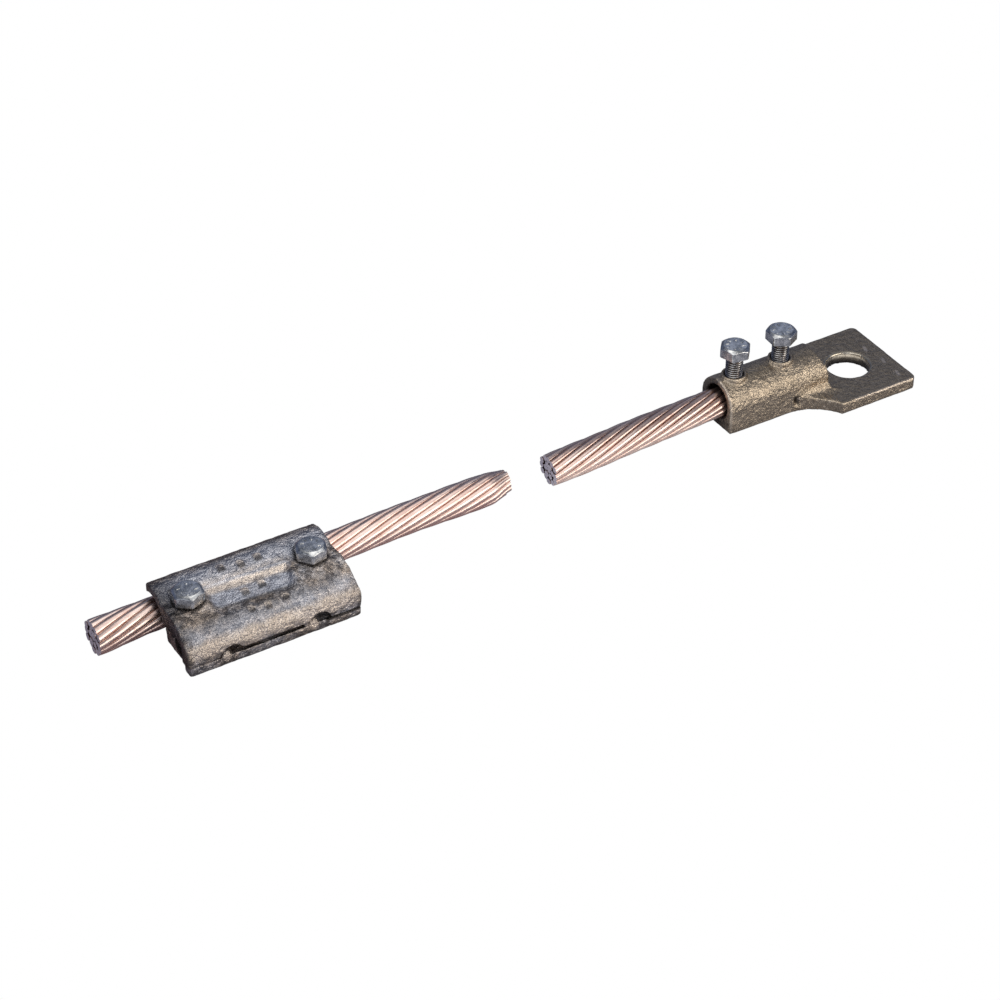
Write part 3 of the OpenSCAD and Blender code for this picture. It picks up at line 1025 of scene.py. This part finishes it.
@dataclass
class Conductor:
    """A bare stranded conductor: a core, an inner layer and an outer layer of opposite lay."""

    # strands side by side across the conductor
    ACROSS = 5
    CORE_RINGS = 24
    CREASE = math.radians(45)
    # how far down a strand's side the painted shade of its groove starts
    DARK_FROM = 0.45
    # degrees from strand to strand that scatter the cut ends
    LOW_TURN, HIGH_TURN, HIGH_SHIFT = 137, 97, 40
    # radians from strand to strand that vary the tones
    TONE_TURN, TONE_SHIFT, TONE_SPREAD = 2.4, 1.3, 0.3

    owner: str
    start: Corner
    length: float
    tilt: float
    widen: float
    crown: float
    rise: Course
    swell: Course
    nip: float = 0.0
    dull: float = 0.0
    # how dark the painted shade on the strands' sides gets
    side_shade: float = 0.64
    diameter: float = CONDUCTOR_D
    gap: float = 0.02
    outer_lay: float = 140.0
    inner_lay: float = 110.0
    scatter: float = 0.5
    sides: int = 16
    ring: float = 0.7

    def build(self) -> list[tuple[Piece, str]]:
        """Models one strand of each layer and copies it round the axis.

        Returns:
            Each strand with the CAD node that it stands for.
        """
        pitch = self.diameter / self.ACROSS
        made: list[tuple[Piece, str]] = []
        # the last value sets the layer's ends and tones apart from the other layers'
        for layer, count, radius, lay, shift in (
            (Layer.CORE, 1, 0.0, 0.0, 0),
            (Layer.INNER, 6, pitch, -self.inner_lay, 0),
            (Layer.OUTER, 12, 2 * pitch, self.outer_lay, 9),
        ):
            pattern = self._strand(radius, lay)
            for index in range(1, count + 1):
                name = f"{self.owner}_{layer.value}_strand" + ("" if layer is Layer.CORE else f"_{index}")
                piece = bpy.data.objects.new(f"{name}_wire", pattern.data.copy())
                bpy.context.scene.collection.objects.link(piece)
                self._place(piece, math.tau * index / count, lay, index + shift)
                made.append((piece, name))
            bpy.data.objects.remove(pattern)
        return made

    def _strand(self, radius: float, lay: float) -> Piece:
        """Sweeps a strand's section along the axis with its lay, at the first place.

        Args:
            radius: The layer's radius.
            lay: The length of one turn, negative the other way, 0 for a straight core.

        Returns:
            The pattern strand along +X from the origin.
        """
        wire_r = (self.diameter / self.ACROSS - self.gap) / 2
        wire = Bench.disc(self.sides, wire_r, (0.0, radius, 0.0), (0.0, math.pi / 2, 0.0))
        Bench.settle(wire)
        if lay > 0:
            # drawn through a die, the outer strands are flat outside and keep the conductor's radius
            for point in wire.data.vertices:
                out = point.co.y - radius * MM
                press = self.crown if out > 0 else 2 - self.crown
                point.co.y = radius * MM + out * press + wire_r * (1 - self.crown) * MM
                point.co.z *= self.widen
        rings = round(self.length / self.ring) if lay else self.CORE_RINGS
        step = self.length / rings
        turn = -math.tau / lay * step if lay else 0.0
        Bench.extrude(rings, (step * MM, 0, 0))
        # notes the painted shade down each strand's sides
        side = wire.data.attributes.new("strand_side", "FLOAT", "POINT")
        for point in wire.data.vertices:
            out = (point.co.y / MM - radius) / wire_r
            deep = (1 - out) / (self.crown if lay > 0 else 1.0)
            dark = min(1.0, max(0.0, (deep - self.DARK_FROM) / (1 - self.DARK_FROM)))
            side.data[point.index].value = dark * self.side_shade
            level = round(point.co.x / (step * MM))
            point.co = Matrix.Rotation(turn * level, 3, "X") @ point.co
        Bench.clean(wire)
        bpy.ops.object.shade_smooth_by_angle(angle=self.CREASE)
        for face in wire.data.polygons:
            face.material_index = 1 if len(face.vertices) > 4 else 0
        return wire

    def _place(self, piece: Piece, angle: float, lay: float, seed: int) -> None:
        """Turns a copy to its place round the axis and trims its ends unevenly.

        Args:
            piece: The copied strand.
            angle: Its place round the axis.
            lay: The layer's lay.
            seed: What its uneven ends and its tone come from.
        """
        low, high = (
            self.scatter * (0.5 + 0.5 * math.sin(math.radians(turn)))
            for turn in (seed * self.LOW_TURN, seed * self.HIGH_TURN + self.HIGH_SHIFT)
        )
        if lay:
            # the cutter took more off the strands that lie low at the far end
            far = angle - math.tau / lay * self.length
            high += self.nip * max(0.0, -math.sin(far)) ** 2
        squeeze = (self.length - low - high) / self.length
        spin = Matrix.Rotation(angle - (math.tau / lay * low if lay else 0.0), 4, "X")
        trim = Matrix.Translation((low * MM, 0, 0)) @ Matrix.Diagonal((squeeze, 1, 1, 1))
        lean = Matrix.Translation(Vector(self.start) * MM) @ Matrix.Rotation(-math.radians(self.tilt), 4, "Y")
        if lay:
            # a shorter strand keeps the lay of its neighbours
            for point in piece.data.vertices:
                extra = -math.tau / lay * point.co.x / MM * (squeeze - 1)
                point.co = Matrix.Rotation(extra, 3, "X") @ point.co
        piece.data.transform(trim @ spin)
        for point in piece.data.vertices:
            along = point.co.x / MM
            grow = between(self.swell, along)
            point.co.y *= grow
            point.co.z = point.co.z * grow + between(self.rise, along) * MM
        piece.data.transform(lean)
        wave = math.sin(seed * self.TONE_TURN + (self.TONE_SHIFT if lay > 0 else 0.0))
        value = self.dull + self.TONE_SPREAD * (0.5 + 0.5 * wave)
        tone = piece.data.attributes.new("strand_tone", "FLOAT", "POINT")
        tone.data.foreach_set("value", [value] * len(piece.data.vertices))

    def dress(
        self, strands: list[tuple[Piece, str]], copper: bpy.types.Material, cut: bpy.types.Material
    ) -> None:
        """Gives each strand its finishes and its body.

        Args:
            strands: The strands and their nodes.
            copper: The drawn surface.
            cut: The sawn ends.
        """
        for piece, node in strands:
            piece.data.materials.append(copper)
            piece.data.materials.append(cut)
            Bench.join_body(piece, Body.BASE, Slot.COPPER, node)


# Studio


@dataclass(frozen=True)
class Studio:
    """The camera, the floor and the light."""

    # where a lobe of the room's light is full, as the cosine from its aim
    LOBE_FULL = 0.99

    eye: Corner = (-718.2, -892.1, 783.0)
    azimuth: float = 30.835
    elevation: float = 36.985
    roll: float = -0.195
    lens: float = 108.0
    sensor: float = 36.0
    clip: tuple[float, float] = (0.05, 60.0)
    floor_side: float = 12.0
    floor_z: float = -0.0002
    # the floor as the camera sees it and as the metal does
    floor_seen: Colour = (1.0, 1.0, 1.0)
    floor_tone: Colour = (0.36, 0.37, 0.43)
    # painted pools of light and shade on the floor that only the metal sees: a colour, and along X and Y
    # where it starts and is full, m
    patches: tuple[tuple[Colour, tuple[tuple[str, float, float], ...]], ...] = (
        ((0.50, 0.50, 0.55), (("Y", 0.0, -0.06),)),
        (
            (0.92, 0.97, 1.0),
            (("X", -0.176, -0.162), ("X", -0.068, -0.082), ("Y", -0.045, -0.025), ("Y", 0.002, -0.010)),
        ),
        ((0.44, 0.36, 0.39), (("X", -0.180, -0.190), ("Y", -0.040, -0.030))),
    )
    # the painted glow on the floor under the tang hole, which only the metal sees, and from where to where it
    # grows, m
    glow: Colour = (1.0, 0.98, 0.95)
    glow_at: tuple[float, float] = (0.0075, 0.0045)
    room: Colour = (0.085, 0.105, 0.165)
    # the lobes of the room's light: an aim, the cosine where it starts and a colour
    lobes: tuple[tuple[Corner, float, Colour], ...] = (
        ((0.48, 0.64, 0.60), 0.972, (0.33, 0.375, 0.495)),
        ((0.0, 0.1, 1.0), 0.60, (0.26, 0.265, 0.28)),
        ((-0.75, -0.55, 0.40), 0.80, (0.6, 0.63, 0.70)),
        ((0.41, -0.90, 0.09), 0.79, (3.7, 3.5, 3.2)),
    )
    box_place: Corner = (-210.0, -70.0, 200.0)
    box_size: tuple[float, float] = (270.0, 270.0)
    box_colour: Colour = (1.0, 0.985, 0.955)
    box_radiance: float = 0.85

    def camera(self) -> None:
        """Makes the camera at the photograph's place."""
        a, e, roll = (math.radians(v) for v in (self.azimuth, self.elevation, self.roll))
        ahead = Vector((math.sin(a) * math.cos(e), math.cos(a) * math.cos(e), -math.sin(e)))
        level = Vector((math.cos(a), -math.sin(a), 0))
        plumb = level.cross(ahead)
        right = math.cos(roll) * level + math.sin(roll) * plumb
        up = -math.sin(roll) * level + math.cos(roll) * plumb
        data = bpy.data.cameras.new("camera")
        data.lens = self.lens
        data.sensor_width = self.sensor
        data.sensor_fit = "HORIZONTAL"
        data.clip_start, data.clip_end = self.clip
        made = bpy.data.objects.new("camera", data)
        turn = Matrix((right, up, -ahead)).transposed().to_4x4()
        made.matrix_world = Matrix.Translation(Vector(self.eye) * MM) @ turn
        bpy.context.scene.collection.objects.link(made)
        bpy.context.scene.camera = made

    def floor(self) -> None:
        """Lays a pale floor that shows white to the camera and gives the metal a soft grey with painted pools
        of light and shade and a painted glow.
        """
        Bench.clear()
        bpy.ops.mesh.primitive_plane_add(size=self.floor_side, location=(0, 0, self.floor_z))
        floor = bpy.context.object
        floor.name = "floor"
        paper = bpy.data.materials.new("paper")
        paper.use_nodes = True
        paper.node_tree.nodes.clear()
        sheet = NodeSheet(paper.node_tree)
        place = sheet.node("ShaderNodeTexCoord").outputs["Object"]
        split = sheet.node("ShaderNodeSeparateXYZ", {0: place}).outputs
        layers = []
        for colour, sides in self.patches:
            cover, *others = [sheet.ramp(split[axis], start, full) for axis, start, full in sides]
            for other in others:
                cover = sheet.part(cover, other)
            layers.append((colour, cover))
        soft = sheet.node("ShaderNodeBsdfDiffuse", {"Color": sheet.coats(self.floor_tone, *layers)})
        away = sheet.node("ShaderNodeVectorMath", {0: place}, operation="LENGTH").outputs["Value"]
        feeds = {"Color": opaque(self.glow), "Strength": sheet.ramp(away, *self.glow_at)}
        glow = sheet.node("ShaderNodeEmission", feeds)
        lit = sheet.node("ShaderNodeAddShader", {0: soft.outputs[0], 1: glow.outputs[0]})
        bright = sheet.node("ShaderNodeEmission", {"Color": opaque(self.floor_seen)})
        seen = sheet.node("ShaderNodeLightPath").outputs["Is Camera Ray"]
        mix = sheet.node("ShaderNodeMixShader", {0: seen, 1: lit.outputs[0], 2: bright.outputs[0]})
        sheet.node("ShaderNodeOutputMaterial", {"Surface": mix.outputs[0]})
        floor.data.materials.append(paper)

    def light(self) -> None:
        """Makes a dim cool room with soft lobes of light, and hangs a soft lamp over the clamp."""
        world = bpy.data.worlds.new("room")
        bpy.context.scene.world = world
        world.use_nodes = True
        sheet = NodeSheet(world.node_tree)
        way = sheet.node("ShaderNodeTexCoord").outputs["Generated"]
        layers = []
        for aim, start, colour in self.lobes:
            feeds = {0: way, 1: Vector(aim).normalized()}
            dot = sheet.node("ShaderNodeVectorMath", feeds, operation="DOT_PRODUCT").outputs["Value"]
            layers.append((colour, sheet.ramp(dot, start, self.LOBE_FULL)))
        feeds = {"Color": sheet.coats(self.room, *layers), "Strength": 1.0}
        sheet.feed(world.node_tree.nodes["Background"], feeds)
        self._softbox()
        bpy.context.scene.view_settings.view_transform = "Standard"

    def _softbox(self) -> None:
        """Hangs the soft lamp over the clamp, short of the lug."""
        wide, deep = self.box_size
        data = bpy.data.lights.new("softbox", "AREA")
        data.shape = "RECTANGLE"
        data.size, data.size_y = wide * MM, deep * MM
        # four times the area gives an area lamp the radiance of its strength
        data.energy = 4 * self.box_radiance * data.size * data.size_y
        data.color = self.box_colour
        made = bpy.data.objects.new("softbox", data)
        made.location = Vector(self.box_place) * MM
        made.visible_camera = False
        bpy.context.scene.collection.objects.link(made)


# The connector


def along(x: tuple[float, float], y: float, z: float, inner: float, outer: float, most: float) -> Streak:
    """Draws a streak along X between two places."""
    return ((x[0], y, z), (x[1], y, z), inner, outer, most)


@dataclass
class BondingConnector:
    """The whole connector."""

    frame: dict
    finishes: Finishes = field(default_factory=Finishes)

    def build(self) -> None:
        """Builds and dresses each sub-assembly in turn."""
        for casting in (self._lug(), *self._jaws()):
            finish = self.finishes.lug if casting.slot is Slot.LUG else self.finishes.clamp
            casting.dress(casting.build(self.frame), finish, self.finishes.bored)
        for screw in self._screws():
            screw.dress(screw.build(), self.finishes.steel)
        for conductor in self._conductors():
            conductor.dress(conductor.build(), self.finishes.copper, self.finishes.cut)

    @staticmethod
    def _lug() -> Casting:
        """Describes the lug with its worn places and its painted shade and highlights.

        Returns:
            The casting.
        """
        screws_x = (-64.1, -39.1)
        # painted shade inside the bore
        bore = along((-75.0, -30.0), 0.0, 12.0, 8.5, 9.1, 0.8)
        # painted shade round the feet of the screw bosses
        bosses = tuple(((x, 0.0, 22.4), (x, 0.2, 22.5), 4.6, 5.2, 0.75) for x in screws_x)
        mouth_x, arch_y, arch_z, arch_r = -72.2, 0.5, 11.3, 11.5
        turns = [math.radians(step * 15.0) for step in range(-3, 7)]
        arch = [(mouth_x, arch_y - arch_r * math.sin(t), arch_z + arch_r * math.cos(t)) for t in turns]
        arch.append((mouth_x, -11.2, 0.8))
        # painted highlight along the rim of the mouth
        rim = tuple((a, b, 0.3, 0.8, 0.4) for a, b in zip(arch, arch[1:]))
        # painted shade round the mouth: low on its face, at its side and above the conductor
        sill = ((-73.6, -9.0, 2.2), (-73.6, 9.0, 2.2), 2.6, 4.5, 0.45)
        cheek = ((-73.6, 9.6, 6.0), (-73.6, 9.8, 14.0), 2.2, 3.6, 0.55)
        brim = ((-73.6, 8.6, 17.0), (-73.6, 2.0, 21.4), 1.6, 2.6, 0.45)
        # painted shade on the lower part of the tang hole's wall
        well = along((-0.1, 0.1), 0.0, 0.0, 10.25, 10.75, 0.85)
        # a pale line along the tang's top front edge: worn edge and painted highlight
        edge = along((-13.0, 19.5), -24.1, 5.6, 0.4, 1.0, 0.6)
        # plain strokes where the photograph has cast marks
        strokes = tuple(
            ((x, y - 1.4, 5.8), (x + 0.8, y + 1.4, 5.8), 0.45, 1.0, 0.85)
            for x, y in ((14.0, 6.3), (15.5, -5.7), (15.0, -17.2))
        )
        # the pit on the barrel's flank, with a lump in it
        pit = (
            ((-36.5, -11.2, 6.2), 2.4, -1.5),
            ((-35.6, -11.2, 4.4), 2.4, -1.6),
            ((-34.9, -11.0, 5.6), 1.6, 1.5),
        )
        # painted shade on the sides of the pit
        pit_shade = (
            ((-37.2, -10.8, 7.0), (-36.4, -10.4, 4.4), 0.6, 1.4, 0.9),
            ((-35.4, -10.8, 3.4), (-33.8, -11.2, 2.6), 0.4, 1.0, 0.85),
        )
        # a painted highlight on the lump
        lump = ((-35.6, -10.8, 6.2), (-34.9, -10.8, 4.8), 0.6, 1.3, 0.8)
        return Casting(
            "lug", "lug_casting", Body.BASE, Slot.LUG, bored=10.9,
            worn=(((-73.5, -12.5, -0.5), (-70.8, 13.0, 23.5), 10),),
            marks=pit,
            painted_shade=(bore, well, sill, cheek, brim, *bosses, *pit_shade),
            highlights_wear_and_marks=(*rim, edge, lump, *strokes),
            collars=tuple((x, 0.0, 5.2, 0.55) for x in screws_x),
        )

    @staticmethod
    def _jaws() -> list[Casting]:
        """Describes the clamp's jaws with their worn places and their painted shade, highlights and bluish
        reflection.

        Returns:
            The upper and the lower jaw.
        """
        left, right = CLAMP_X
        # painted shade in the groove, where the jaws meet the conductor, low along the skirt and in the slit
        groove_shade = along(CLAMP_X, -29.1, 11.2, 4.5, 5.4, 1.0)
        saddle = along(CLAMP_X, RUN_Y, RUN_Z, 7.4, 8.4, 0.9)
        seam = along(CLAMP_X, -38.6, 5.6, 0.35, 2.0, 0.5)
        slit = along((-329.5, -301.5), -38.2, 6.2, 0.6, 1.1, 1.0)
        # painted shadows under the bolt heads, painted shade at the lower jaw's foot and on the end faces
        seats = tuple(((x, -18.9, 24.2), (x, -18.9, 24.6), 6.8, 8.0, 0.9) for x in (-343.65, -287.35))
        foot = along(CLAMP_X, -38.9, 0.4, 2.0, 4.2, 0.5)
        ends = tuple(((x, -9.0, 18.0), (x, -37.0, 10.0), 4.4, 6.6, 0.75) for x in (left - 2.5, right + 2.5))
        # painted shade on the ends and along the back of the top
        shades = (
            ((left, -3.0, 25.0), (left, -29.0, 18.5), 3.0, 12.0, 0.6),
            ((right, -12.0, 22.0), (right, -38.0, 10.0), 2.0, 7.0, 0.5),
            along(CLAMP_X, -2.4, 26.2, 1.0, 4.0, 0.3),
        )
        # painted shade on the apron in front of the panel, a painted shadow along the panel's front edge and
        # painted bluish reflection on the chest
        apron = along((-344.0, -285.0), -31.5, 19.4, 2.2, 5.5, 0.36)
        ledge = ((-331.0, -27.2, 20.0), (-301.0, -28.4, 20.0), 0.5, 1.4, 0.6)
        chest = along((-349.0, -281.0), -34.5, 17.6, 1.2, 5.0, 0.45)
        # a painted highlight along the brow, painted bluish reflection on the crest and a faint painted
        # highlight on the shelf
        brow = ((-333.0, -17.2, 23.2), (-299.5, -19.0, 23.2), 0.9, 2.5, 0.85)
        crest = ((-333.0, -16.4, 23.6), (-299.5, -18.2, 23.6), 1.4, 3.2, 0.85)
        shelf = ((-333.0, -14.2, 25.0), (-299.5, -15.6, 25.0), 0.8, 2.6, 0.22)
        # a painted highlight on the front roll and faint painted shade on the chin below it
        roll = along(CLAMP_X, -39.2, 12.4, 1.8, 4.8, 0.65)
        chin = along(CLAMP_X, -39.4, 8.2, 0.8, 2.3, 0.1)
        # painted bluish reflection on the panel and on the back slope
        panel = ((-331.0, -22.5, 20.9), (-302.0, -24.6, 20.9), 2.8, 5.2, 0.72)
        slope = along((-350.0, -281.0), -11.0, 25.9, 2.4, 7.5, 0.62)
        # painted shade in the gap at the right end, and painted highlights on the lower jaw's knobs
        gap = along((-291.0, right), -38.8, 5.6, 0.7, 1.4, 0.95)
        knobs = tuple(((x, -39.5, 5.6), (x, -39.5, 6.6), 1.4, 2.4, 0.6) for x in (-336.9, -297.1))
        # low bumps where the photograph has cast marks, with painted shade below them and a painted highlight
        # on top
        bumps = (
            (-324.5, -9.9, 26.5), (-316.0, -11.2, 26.2), (-308.1, -10.8, 26.3), (-320.1, -22.7, 21.1),
            (-312.1, -22.0, 21.4), (-322.0, -32.2, 19.7), (-314.9, -33.0, 19.0), (-306.7, -32.1, 19.7),
        )
        dints = tuple(along((x - 0.8, x + 0.8), y - 1.3, z, 0.6, 1.6, 0.8) for x, y, z in bumps)
        crowns = tuple(along((x - 0.5, x + 0.5), y + 0.4, z + 0.5, 0.8, 1.7, 0.7) for x, y, z in bumps)
        upper = Casting(
            "upper_jaw", "upper_jaw_casting", Body.JAW, Slot.CLAMP, soften=7, waves=CLAMP_WAVES,
            worn=(
                ((-356.0, -4.5, 22.0), (-350.0, 0.0, 28.0), 12),
                ((-281.0, -41.0, 4.0), (-274.0, -34.0, 12.0), 14),
                ((-341.0, -33.0, 17.0), (-291.0, -13.0, 26.0), 18),
                ((-339.0, -32.0, 17.0), (-326.0, -15.0, 26.0), 40),
            ),
            marks=tuple((place, 2.5, 1.5) for place in bumps),
            painted_shade=(groove_shade, saddle, seam, gap, slit, *seats, *ends, *shades, apron, ledge, chin, *dints),
            highlights_wear_and_marks=(brow, shelf, roll, *crowns),
            cool=(panel, slope, crest, chest),
        )
        lower = Casting(
            "lower_jaw", "lower_jaw_casting", Body.BASE, Slot.CLAMP, soften=7, waves=CLAMP_WAVES,
            worn=(
                ((-355.0, -41.0, -1.0), (-349.0, -33.0, 7.0), 10),
                ((-281.0, -41.0, -1.0), (-274.0, -33.0, 7.0), 10),
            ),
            painted_shade=(groove_shade, saddle, slit, gap, foot),
            highlights_wear_and_marks=knobs,
        )
        return [upper, lower]

    @staticmethod
    def _screws() -> list[HexScrew]:
        """Places the four screws by the CAD nodes' own boxes.

        Returns:
            The screws.
        """
        made = []
        for node, body, length, turn in (
            ("set_screw_front", Body.SCREW_FRONT, 14.4, 50.0),
            ("set_screw_rear", Body.SCREW_REAR, 14.4, 27.0),
            ("clamp_bolt_left", Body.BOLT_LEFT, 22.8, 22.0),
            ("clamp_bolt_right", Body.BOLT_RIGHT, 22.8, 9.0),
        ):
            low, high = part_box(node)
            middle = (low + high) / 2 / MM
            seat_z = high.z / MM - HEAD_HEIGHT
            made.append(HexScrew(node, f"{node}_steel", body, middle.x, middle.y, seat_z, length, turn))
        return made

    @staticmethod
    def _conductors() -> list[Conductor]:
        """Gives the two conductors the CAD's places.

        Returns:
            The conductors.
        """
        run_left, clamp_len, run_right = 27.2, 79.1, 88.3
        stub_out, bore_depth, bore_floor, cut, rest_gap = 88.7, 44.1, 4.0, 1.0, 0.05
        tilt = math.degrees(math.asin(bore_floor / stub_out))
        level = math.cos(math.radians(tilt))
        stub_z = (CONDUCTOR_D / 2 + rest_gap) / level
        return [
            Conductor(
                "clamp", (-381.6, RUN_Y, RUN_Z), run_left + clamp_len + run_right, 0.0,
                widen=1.13, crown=0.74, nip=6.0,
                rise=((0, -1.7), (26, -0.6), (40, 0.0), (92, 0.0), (150, 1.6), (184, 1.5), (194.6, 2.2)),
                swell=(
                    (0, 1.16), (26, 1.06), (40, 1.0), (100, 1.0), (112, 1.04),
                    (150, 1.03), (175, 1.08), (184, 1.06), (194.6, 0.80),
                ),
            ),
            Conductor(
                "lug", (-161.3, 0.0, stub_z), (stub_out + bore_depth - cut) / level, tilt,
                widen=1.08, crown=0.84, dull=0.14, side_shade=1.0,
                rise=((0, 0.2), (20, 0.2), (45, 0.6), (86, 0.5), (92, 0.0), (131, 0.0)),
                swell=((0, 1.07), (12, 1.11), (40, 1.09), (86, 1.03), (92, 1.0), (131, 1.0)),
            ),
        ]


def main() -> None:
    """Loads the frame, builds the connector and the studio."""
    logging.basicConfig(level=logging.INFO, format="%(name)s: %(message)s")
    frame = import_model()
    BondingConnector(frame).build()
    studio = Studio()
    studio.floor()
    studio.light()
    studio.camera()


if __name__ == "__main__":
    main()
